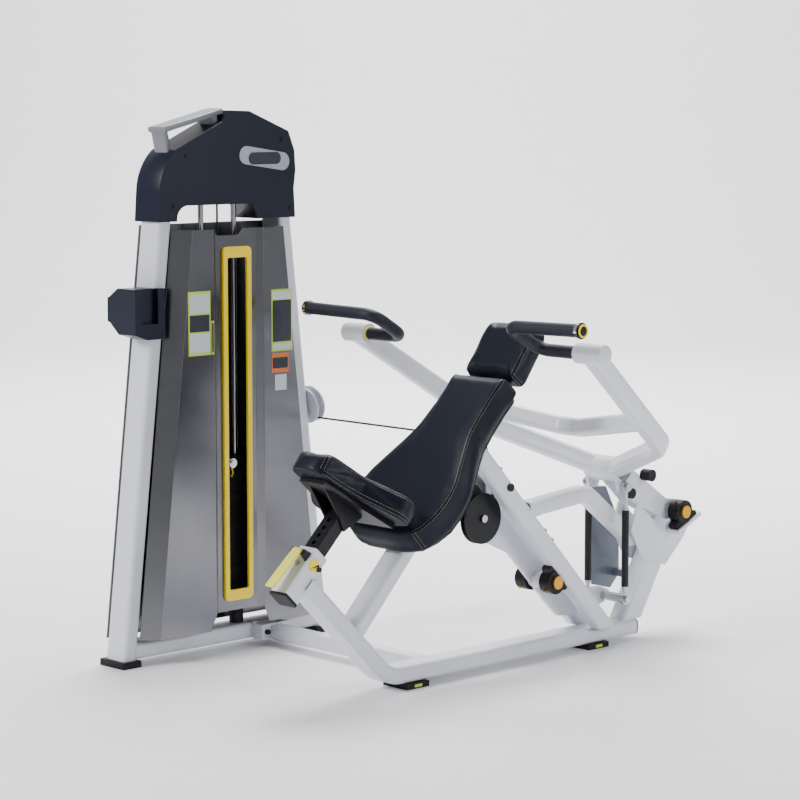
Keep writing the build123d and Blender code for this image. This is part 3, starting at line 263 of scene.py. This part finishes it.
def lathe(name, start, direction, profile, made, body, sides=40, smooth=True):
    """A turned piece: profile rows are (distance along, radius) in millimetres."""
    axis = Vector(direction).normalized()
    side = axis.orthogonal().normalized()
    other = axis.cross(side)
    points = []
    for along, radius in profile:
        for turn in around(sides):
            out = side * math.cos(turn) + other * math.sin(turn)
            points.append(start + axis * along / 1000 + out * radius / 1000)
    faces = []
    for ring in range(len(profile) - 1):
        faces += ring_faces(sides, ring * sides)
    faces.append(tuple(reversed(range(sides))))
    last = (len(profile) - 1) * sides
    faces.append(tuple(range(last, last + sides)))
    return piece(name, points, faces, made, body, smooth)


def tube(name, path, radius, made, body, sides=10):
    """A round run along points; radius in millimetres."""
    points, faces = [], []
    for i, spot in enumerate(path):
        ahead = path[min(i + 1, len(path) - 1)] - path[max(i - 1, 0)]
        axis = ahead.normalized()
        side = axis.cross(Vector((0.31, 0.23, 0.92))).normalized()
        other = axis.cross(side)
        for turn in around(sides):
            points.append(spot + (side * math.cos(turn) + other * math.sin(turn)) * radius / 1000)
    for i in range(len(path) - 1):
        faces += ring_faces(sides, i * sides)
    faces.append(tuple(reversed(range(sides))))
    faces.append(tuple(range((len(path) - 1) * sides, len(path) * sides)))
    return piece(name, points, faces, made, body)


# ---- cushions ----
def curve_point(a, b, c, d, share):
    """A point between b and c on a centripetal Catmull-Rom curve."""
    knots = [0.0]
    for p, q in ((a, b), (b, c), (c, d)):
        knots.append(knots[-1] + max(math.dist(p, q), 0.01) ** 0.5)
    t = knots[1] + (knots[2] - knots[1]) * share

    def mix(p, q, low, high):
        return [((high - t) * i + (t - low) * j) / (high - low) for i, j in zip(p, q)]

    ab = mix(a, b, knots[0], knots[1])
    bc = mix(b, c, knots[1], knots[2])
    cd = mix(c, d, knots[2], knots[3])
    return mix(mix(ab, bc, knots[0], knots[2]), mix(bc, cd, knots[1], knots[3]), knots[1], knots[2])


def closed_loop(half, shrink, step=6.0):
    """The whole outline, evenly spaced, from half of it; returns points and outward normals."""
    corners = list(half) + [(-u, v) for u, v in reversed(half) if u > 0]
    count = len(corners)
    dense = []
    for i in range(count):
        four = [corners[(i + k - 1) % count] for k in range(4)]
        dense += [curve_point(*four, share / 24) for share in range(24)]
    loop = [dense[0]]
    for spot in dense[1:]:
        if math.dist(spot, loop[-1]) >= step:
            loop.append(spot)
    if math.dist(loop[0], loop[-1]) < step * 0.6:
        loop.pop()
    normals = []
    for i in range(len(loop)):
        du = loop[(i + 1) % len(loop)][0] - loop[i - 1][0]
        dv = loop[(i + 1) % len(loop)][1] - loop[i - 1][1]
        size = math.hypot(du, dv)
        normals.append((dv / size, -du / size))
    area = sum(loop[i - 1][0] * loop[i][1] - loop[i][0] * loop[i - 1][1] for i in range(len(loop)))
    if area < 0:
        normals = [(-a, -b) for a, b in normals]
    loop = [(p[0] - n[0] * shrink, p[1] - n[1] * shrink) for p, n in zip(loop, normals)]
    return loop, normals


def edge_radius(normal, tight, wide_round):
    """Tight along the sewn sides, wide where the cover wraps over an end."""
    return tight + (wide_round - tight) * min(normal[1] ** 4, 1)


def pad_shell(loop, normals, depth, tight, wide_round, lift):
    """Rings from the back face to the front face, as points (u, v, n) in millimetres."""
    rings = [[(p[0] - n[0] * 6, p[1] - n[1] * 6, -depth) for p, n in zip(loop, normals)],
             [(p[0] - n[0] * 1.5, p[1] - n[1] * 1.5, -depth + 2) for p, n in zip(loop, normals)],
             [(p[0], p[1], -depth + 7) for p in loop]]
    for k in range(9):
        turn = math.pi / 2 * k / 8
        ring = []
        for p, n in zip(loop, normals):
            r = edge_radius(n, tight, wide_round)
            inset = r * (1 - math.cos(turn))
            ring.append((p[0] - n[0] * inset, p[1] - n[1] * inset, lift - r + r * math.sin(turn)))
        rings.append(ring)
    return rings


def shell_object(name, rings):
    """The closed mesh through the rings, in metres."""
    count = len(rings[0])
    points = [p for ring in rings for p in ring]
    faces = [tuple(reversed(range(count)))]
    for r in range(len(rings) - 1):
        faces += ring_faces(count, r * count)
    faces.append(tuple(range((len(rings) - 1) * count, len(rings) * count)))
    made = piece(name, [[c / 1000 for c in p] for p in points], faces, finish["cushion"])
    shape = bmesh.new()
    shape.from_mesh(made.data)
    bmesh.ops.recalc_face_normals(shape, faces=shape.faces)
    shape.to_mesh(made.data)
    shape.free()
    return made


def baked(obj):
    """Replaces the mesh by what its modifiers make of it, and drops them."""
    graph = bpy.context.evaluated_depsgraph_get()
    mesh = bpy.data.meshes.new_from_object(obj.evaluated_get(graph))
    obj.modifiers.clear()
    obj.data = mesh
    for face in mesh.polygons:
        face.use_smooth = True


def remeshed(obj, voxel):
    """An even mesh over the same shape."""
    net = obj.modifiers.new("net", "REMESH")
    net.mode = "VOXEL"
    net.voxel_size = voxel
    net.use_smooth_shade = True
    baked(obj)


def inflated(obj, depth, cap):
    """A short cloth run with inner pressure; the back face stays put and nothing moves past the cap."""
    start = [v.co.copy() for v in obj.data.vertices]
    held = obj.vertex_groups.new(name="held")
    held.add([i for i, co in enumerate(start) if co.z < -depth / 1000 + 0.012], 1.0, "REPLACE")
    cloth = obj.modifiers.new("stuffing", "CLOTH")
    cloth.settings.quality = 4
    cloth.settings.mass = 0.25
    cloth.settings.tension_stiffness = 12
    cloth.settings.compression_stiffness = 12
    cloth.settings.bending_stiffness = 0.6
    cloth.settings.use_pressure = True
    cloth.settings.uniform_pressure_force = 4
    cloth.settings.effector_weights.gravity = 0
    cloth.settings.vertex_group_mass = "held"
    cloth.point_cache.frame_start = 1
    cloth.point_cache.frame_end = 20
    for number in range(1, 21):
        bpy.context.scene.frame_set(number)
    graph = bpy.context.evaluated_depsgraph_get()
    moved = [v.co.copy() for v in obj.evaluated_get(graph).data.vertices]
    obj.modifiers.clear()
    bpy.context.scene.frame_set(1)
    capped = []
    for old, new in zip(start, moved):
        step = new - old
        if step.length > cap:
            step *= cap / step.length
        capped += list(old + step)
    obj.data.vertices.foreach_set("co", capped)
    obj.data.update()


def seam_runs(loop, normals):
    """Stretches of the outline where the boxing is sewn on, as lists of indices."""
    count = len(loop)
    sewn = [abs(n[1]) < 0.78 for n in normals]
    first = next(i for i in range(count) if sewn[i] and not sewn[i - 1])
    runs, run = [], []
    for k in range(count):
        i = (first + k) % count
        if sewn[i]:
            run.append(i)
        elif run:
            runs.append(run)
            run = []
    if run:
        runs.append(run)
    return [r for r in runs if len(r) > 6]


def seam_lines(loop, normals, depth, tight, wide_round, lift, low_seam):
    """The seam lines: along the sewn edges, down the corners, and on request along the lower edge."""
    lines = []
    for run in seam_runs(loop, normals):
        line = []
        for i in run:
            r = edge_radius(normals[i], tight, wide_round)
            p, n = loop[i], normals[i]
            inset = r * (1 - math.cos(math.radians(50)))
            line.append(Vector((p[0] - n[0] * inset, p[1] - n[1] * inset, lift - r + r * 0.766)))
        for end, i in ((0, run[0]), (-1, run[-1])):
            p = loop[i]
            walls = [Vector((p[0], p[1], z)) for z in range(int(line[end].z) - 5, int(-depth) + 6, -5)]
            line = list(reversed(walls)) + line if end == 0 else line + walls
        lines.append(line)
        if low_seam:
            lines.append([Vector((loop[i][0], loop[i][1], -depth + 9)) for i in run])
    return lines


def grooved(obj, lines, sink):
    """Presses the seam into the skin."""
    samples = []
    for line in lines:
        for a, b in zip(line, line[1:]):
            pieces = max(int((b - a).length / 1.5), 1)
            samples += [a.lerp(b, k / pieces) for k in range(pieces)]
    tree = KDTree(len(samples))
    for i, spot in enumerate(samples):
        tree.insert(spot / 1000, i)
    tree.balance()
    moved = []
    for vertex in obj.data.vertices:
        distance = tree.find(vertex.co)[2] * 1000
        shift = sink * (math.exp(-distance ** 2 / 9) - 0.35 * math.exp(-(distance - 7) ** 2 / 14))
        moved += list(vertex.co - vertex.normal * shift / 1000)
    obj.data.vertices.foreach_set("co", moved)
    obj.data.update()


def add_dash(points, faces, a, b, up):
    """One stitch from a to b, tapered at its ends and half sunk in the skin."""
    way = (b - a).normalized()
    across = way.cross(up).normalized()
    base = len(points)
    for share, thick in ((0, 0.25), (0.2, 0.62), (0.8, 0.62), (1, 0.25)):
        spot = a.lerp(b, share)
        for turn in around(6):
            out = across * math.cos(turn) * 0.8 + up * (math.sin(turn) * 0.55 + 0.1)
            points.append(spot + out * thick / 1000)
    for ring in range(3):
        faces += ring_faces(6, base + ring * 6)
    faces.append(tuple(base + k for k in reversed(range(6))))
    faces.append(tuple(base + 18 + k for k in range(6)))


def stitches(name, obj, lines):
    """Two rows of thread, one on each side of every seam."""
    skin = BVHTree.FromPolygons([v.co for v in obj.data.vertices],
                                [tuple(f.vertices) for f in obj.data.polygons])
    fine_step, every, gap = 0.75, 8, 3
    row_offset = 0.0048
    points, faces = [], []
    for line in lines:
        spots = []
        for a, b in zip(line, line[1:]):
            parts = max(int((b - a).length / fine_step), 1)
            spots += [a.lerp(b, k / parts) / 1000 for k in range(parts)]
        for k in range(4, len(spots) - every, every):
            a, b = spots[k], spots[k + every - gap]
            across = (b - a).normalized().cross(skin.find_nearest(a)[1]).normalized()
            for side in (-1, 1):
                start, up = skin.find_nearest(a + across * side * row_offset)[:2]
                end = skin.find_nearest(b + across * side * row_offset)[0]
                if (start - end).length <= 0.009:
                    add_dash(points, faces, start, end, up)
    return piece(name, points, faces, seam_thread)


def cushion(name, node, body, half, depth, origin, up_dir, normal, tight, wide_round, voxel,
            crown=3.0, shrink=3.0, low_seam=False):
    """A stuffed pad: outline, simulated filling, pressed seams and two rows of stitching."""
    lift = -1.5
    loop, normals = closed_loop(half, shrink)
    pad = shell_object(name, pad_shell(loop, normals, depth, tight, wide_round, lift))
    remeshed(pad, voxel)
    inflated(pad, depth, crown / 1000)
    smoother = pad.modifiers.new("even", "SMOOTH")
    smoother.factor = 0.5
    smoother.iterations = 3
    finer = pad.modifiers.new("finer", "SUBSURF")
    finer.levels = 1
    finer.render_levels = 1
    baked(pad)
    lines = seam_lines(loop, normals, depth, tight, wide_round, lift, low_seam)
    grooved(pad, lines, 1.5)
    thread = stitches(name + "_stitches", pad, lines)
    across = Vector((1, 0, 0))
    place = Matrix.Identity(4)
    for column, axis in enumerate((across, up_dir, normal)):
        for row in range(3):
            place[row][column] = axis[row]
    place.translation = origin
    pad.data.transform(place)
    thread.data.transform(place)
    pad.data.materials.clear()
    pad.data.materials.append(finish["cushion"])
    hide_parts(node)
    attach(pad, body)
    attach(thread, body)
    return pad


def sloped(direction):
    """The up-the-pad direction and the outward normal, from a (y, z) direction."""
    return Vector((0, direction[0], direction[1])), Vector((0, -direction[1], direction[0]))


def back_cushion():
    half = [(0, -222), (70, -220), (118, -208), (150, -178), (172, -125), (176, -75), (168, -24), (148, 30),
            (124, 89), (108, 136), (101, 195), (98, 261), (100, 306), (96, 330), (80, 338), (0, 340)]
    up, out = sloped((0.7091, 0.7051))
    cushion("back_cushion", "back_pad", "frame", half, 74, at(mid_x, 448.2, 572.0), up, out, 7, 30, 0.006)


def head_cushion():
    half = [(0, 0), (80, 0), (92, 10), (95, 70), (94, 130), (84, 165), (66, 178), (0, 180)]
    up, out = sloped((0.588, 0.809))
    cushion("head_cushion", "headrest", "frame", half, 62, at(mid_x, 707.5, 797.6), up, out, 7, 28, 0.005)


def seat_cushion():
    half = [(0, 10), (60, 6), (128, -4), (160, -18), (170, -58), (136, -108), (96, -158), (74, -215),
            (62, -262), (36, -284), (0, -288)]
    angle = math.radians(35)
    rearward, up = sloped((math.cos(angle), -math.sin(angle)))
    cushion("seat_cushion", "seat_pad", "seat", half, 64, at(mid_x, 318.0, 498.0), rearward, up, 14, 34,
            0.005, low_seam=True)


back_cushion()
head_cushion()
seat_cushion()


# ---- cables that run between two bodies, copied in place ----
def living_cable(name, node):
    """A copy of a cable run's mesh in the frame, standing in for its hidden CAD node."""
    copy = bpy.data.objects.new(name, nodes[node].data.copy())
    bpy.context.scene.collection.objects.link(copy)
    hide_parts(node)
    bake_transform(copy)


living_cable("lift_cable", "cable_lift")
living_cable("crank_cable", "cable_crank")


# ---- small trim ----
def socket_shade(name, spot, direction, across, body):
    """A thin dark hexagonal disc on a screw head: painted shade standing in for the sunk socket."""
    profile = [(0.05, across / 2), (0.35, across / 2 - 0.2)]
    lathe(name, spot, direction, profile, finish["rubber"], body, 6, False)


def screw_socket_shades():
    """Painted socket shade on the rail screws, the side bolt and the cap screws."""
    way = Vector((0, rail_foot[0] - rail_top[0], rail_foot[1] - rail_top[1])).normalized()
    out = Vector((0, -way.z, way.y))
    for number, distance in enumerate((154, 410, 450)):
        spot = at(mid_x + rail_side, *rail_top) + way * distance / 1000 + out * 0.033
        socket_shade(f"rail_socket_shade_{number}", spot, out, 8, "frame")
    socket_shade("side_socket_shade", at(734, 735, 498), (1, 0, 0), 12, "frame")
    for number, (y, z) in enumerate(((178, 1240), (222, 1376), (564, 1418), (596, 1226))):
        socket_shade(f"cap_socket_shade_{number}", at(8, y, z), (1, 0, 0), 6, "frame")


def lozenge(name, x_low, x_high, middle, half_long, radius_y, radius_z, sides, made):
    """A flat plate with round ends that faces +X; middle is its (y, z)."""
    points = []
    for x in (x_low, x_high):
        for turn in around(sides):
            shift = half_long if math.cos(turn) > 0 else -half_long
            points.append(at(x, middle[0] + shift + radius_y * math.cos(turn),
                             middle[1] + radius_z * math.sin(turn)))
    faces = ring_faces(sides, 0) + [tuple(range(sides, 2 * sides))]
    piece(name, points, faces, made, "frame", False)


def foot_inserts():
    for number, y in enumerate((412, 1119)):
        lozenge(f"foot_insert_{number}", 708.2, 710.2, (y, 7.5), 10, 4, 3.8, 16, foot_green)


def label(name, made, y0, y1, z0, z1):
    """A blank coloured field on a placard."""
    points = [at(card_face, y0, z0), at(card_face, y1, z0), at(card_face, y1, z1), at(card_face, y0, z1)]
    points += [p + Vector((0.0003, 0, 0)) for p in points]
    faces = [(4, 5, 6, 7), (0, 1, 5, 4), (1, 2, 6, 5), (2, 3, 7, 6), (3, 0, 4, 7)]
    piece(name, points, faces, made, "frame", False)


def card_fields():
    label("card_pale_top", pale_print, 192, 261, 952, 1004)
    label("card_dark_mid", navy_print, 192, 261, 902, 948)
    label("card_pale_low", pale_print, 192, 261, 846, 898)
    label("strip_dark", navy_print, 269.5, 275.5, 844, 924)
    label("card_grey_top", pale_print, 488, 556, 976, 998)
    label("card_dark_long", navy_print, 488, 556, 858, 974)
    label("card_grey_low", pale_print, 488, 556, 838, 852)
    label("card_dark_warn", navy_print, 487, 543, 784, 814)


def grip_trim():
    """Collar caps and rings, the rim at each open grip end, and a dark disc in each rim as painted shade
    for the open bore.
    """
    cap = [(-0.5, 26.8), (1.0, 26.6), (3.4, 25.2), (4.8, 22.0), (5.4, 12.0), (5.6, 1.0)]
    ring = [(-0.5, 20), (0.2, 20), (3.4, 19.2), (3.6, 17.2)]
    rim = [(0, 17.4), (1.0, 17.2), (1.7, 16.0), (1.7, 12.8), (0.6, 12.2)]
    # a thin dark disc just inside the rim: painted shade of the open bore
    shade_disc = [(0.65, 12.1), (0.9, 11.9)]
    yellow = finish["yellow_plastic"]
    for side, x, way in (("near", 1137, 1), ("far", 189, -1)):
        lathe(f"{side}_collar_cap", at(x, *collar), (way, 0, 0), cap, finish["white_frame"], "press_arm")
    for side, x, way in (("near", 1051, -1), ("far", 275, 1)):
        lathe(f"{side}_collar_ring", at(x, *collar), (way, 0, 0), ring, yellow, "press_arm")
    for side, x, way in (("near", 1175.6, 1), ("far", 150.4, -1)):
        lathe(f"{side}_end_rim", at(x, *grip_end), (way, 0, 0), rim, yellow, "press_arm")
        lathe(f"{side}_end_shade_disc", at(x, *grip_end), (way, 0, 0), shade_disc, finish["rubber"], "press_arm")


def pin_lanyard():
    """The coiled yellow cord between the selector pin and the stem."""
    path = []
    for k in range(41):
        share = k / 40
        sag = math.sin(math.pi * share)
        path.append(at(20 - 66 * share, 366 + 16 * sag + 2.5 * math.sin(36 * share),
                       527 - 46 * sag + 2.5 * math.cos(36 * share)))
    tube("pin_lanyard", path, 1.7, finish["yellow_plastic"], "pin", 8)


screw_socket_shades()
foot_inserts()
card_fields()
lozenge("badge_field", 9.1, 9.6, badge_middle, 42, 17, 17, 32, navy_print)
grip_trim()
pin_lanyard()


# ---- studio ----
def backdrop():
    """A pale floor that curves up behind the machine, facing the camera."""
    away = Vector((-math.cos(camera_yaw), math.sin(camera_yaw), 0))
    side = Vector((-away.y, away.x, 0))
    bend_start, bend, top, half_wide = 9.0, 4.0, 16.0, 26.0
    profile = [(-14.0, 0.0), (0.0, 0.0), (bend_start, 0.0)]
    for degrees in range(6, 91, 6):
        turn = math.radians(degrees)
        profile.append((bend_start + bend * math.sin(turn), bend - bend * math.cos(turn)))
    profile.append((bend_start + bend, top))
    points = []
    for run, height in profile:
        for offset in (-half_wide, half_wide):
            points.append(away * run + side * offset + Vector((0, 0, height)))
    faces = [(2 * i, 2 * i + 1, 2 * i + 3, 2 * i + 2) for i in range(len(profile) - 1)]
    floor = piece("studio_floor", points, faces, floor_finish)


def lamp(name, place, target, size, power, tint):
    """A soft round light that faces its target."""
    light = bpy.data.lights.new(name, "AREA")
    light.shape = "DISK"
    light.size = size
    light.energy = power
    light.color = tint
    holder = bpy.data.objects.new(name, light)
    bpy.context.scene.collection.objects.link(holder)
    holder.location = place
    holder.rotation_euler = (Vector(target) - Vector(place)).to_track_quat("-Z", "Y").to_euler()


def studio():
    """Backdrop, four soft lights and a pale sky."""
    backdrop()
    lamp("key", (-1.6, -5.2, 3.6), (0, 0, 0.7), 2.0, 300, (1.0, 0.995, 0.98))
    lamp("fill", (5.6, 1.6, 2.6), (0, 0, 0.7), 2.6, 150, (0.97, 0.985, 1.0))
    lamp("top", (-1.2, 1.4, 5.6), (0, 0, 0.4), 3.2, 420, (1.0, 1.0, 1.0))
    lamp("wall", (-3.6, 3.4, 6.5), (-7.6, 7.2, 0.6), 5.0, 1500, (1.0, 1.0, 1.0))
    world = bpy.data.worlds.new("studio")
    world.use_nodes = True
    world.node_tree.nodes["Background"].inputs["Color"].default_value = (0.94, 0.96, 1.0, 1)
    world.node_tree.nodes["Background"].inputs["Strength"].default_value = 0.36
    bpy.context.scene.world = world


def camera():
    level = math.cos(camera_pitch)
    way = Vector((-math.cos(camera_yaw) * level, math.sin(camera_yaw) * level, -math.sin(camera_pitch)))
    lens = bpy.data.cameras.new("camera")
    lens.lens = 114.8
    lens.sensor_width = 36.0
    lens.clip_end = 60
    holder = bpy.data.objects.new("camera", lens)
    bpy.context.scene.collection.objects.link(holder)
    holder.location = camera_place
    holder.rotation_euler = way.to_track_quat("-Z", "Y").to_euler()
    bpy.context.scene.camera = holder


studio()
camera()
